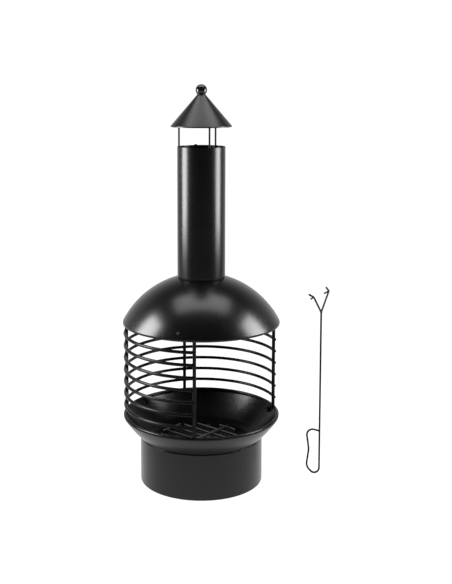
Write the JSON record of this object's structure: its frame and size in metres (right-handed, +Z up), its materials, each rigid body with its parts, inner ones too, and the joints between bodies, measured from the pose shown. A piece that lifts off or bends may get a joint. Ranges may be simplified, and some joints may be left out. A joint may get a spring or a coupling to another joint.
{
  "type": "chimney fire pit",
  "caption": "Free-standing steel chimney fire pit: bowl on a base ring, rod guard open at the front, domed hood, pipe with rain cap, loose grate and hook tool.",
  "frame": {"origin": "on the floor, on the fire pit's vertical axis, in the middle of the base ring's lower edge", "axes": "+Z up along the chimney, -Y to the picture's camera, +X to the side where the hook tool stands"},
  "size_m": [0.6686, 0.501, 1.2691],
  "materials": {
    "black_sheet": "satin",
    "cap_sheet": "satin",
    "guard_rod": "satin",
    "cap_wire": "satin",
    "gloss_ball": "gloss",
    "grate_wire": "satin",
    "tool_wire": "satin",
    "black_fixing": "satin",
    "zinc_fixing": "zinc plated"
  },
  "bodies": {
    "stand": {"base_ring": "black_sheet", "base_brackets": "black_sheet", "base_bolts": "black_fixing", "base_nuts": "zinc_fixing", "fire_bowl": "black_sheet", "bowl_studs": "black_fixing", "bowl_nuts": "black_fixing", "foot_ring_back": "guard_rod", "foot_ring_front": "guard_rod", "foot_tabs": "guard_rod", "guard_ring_1": "guard_rod", "guard_ring_2": "guard_rod", "guard_ring_3": "guard_rod", "guard_ring_4": "guard_rod", "guard_ring_5": "guard_rod", "guard_ring_6": "guard_rod", "guard_ring_7": "guard_rod", "upright_right": "guard_rod", "upright_back": "guard_rod", "upright_left": "guard_rod", "upright_front": "guard_rod", "top_ring": "guard_rod", "top_tabs": "guard_rod", "hood_dome": "black_sheet", "hood_bolts": "black_fixing", "hood_nuts": "zinc_fixing", "hood_collar": "black_sheet"},
    "grate": {"grate_bar_1": "grate_wire", "grate_bar_2": "grate_wire", "grate_bar_3": "grate_wire", "grate_bar_4": "grate_wire", "grate_bar_5": "grate_wire", "grate_bar_6": "grate_wire", "grate_bar_7": "grate_wire", "grate_bar_8": "grate_wire", "grate_cross_1": "grate_wire", "grate_cross_2": "grate_wire", "grate_cross_3": "grate_wire"},
    "chimney": {"chimney_pipe": "black_sheet", "cap_rod_1": "cap_wire", "cap_rod_2": "cap_wire", "cap_rod_3": "cap_wire", "rain_cone": "cap_sheet", "finial_ball": "gloss_ball", "finial_stud": "zinc_fixing", "finial_washer": "zinc_fixing", "finial_nut": "zinc_fixing"},
    "hook_tool": {"tool_shaft": "tool_wire", "tool_arm_left": "tool_wire", "tool_arm_right": "tool_wire", "tool_prong_left": "tool_wire", "tool_prong_right": "tool_wire"}
  },
  "joints": [
    {"name": "grate_lift_out", "type": "slide", "parent": "stand", "child": "grate", "axis": [0.5346, -0.4813, 0.6947], "range_m": [0, 0.6]},
    {"name": "chimney_lift_off", "type": "slide", "parent": "stand", "child": "chimney", "axis": [0, 0, 1], "range_m": [0, 0.12]},
    {"name": "tool_pick_up", "type": "slide", "parent": "stand", "child": "hook_tool", "axis": [0, 0, 1], "range_m": [0, 0.3]}
  ]
}
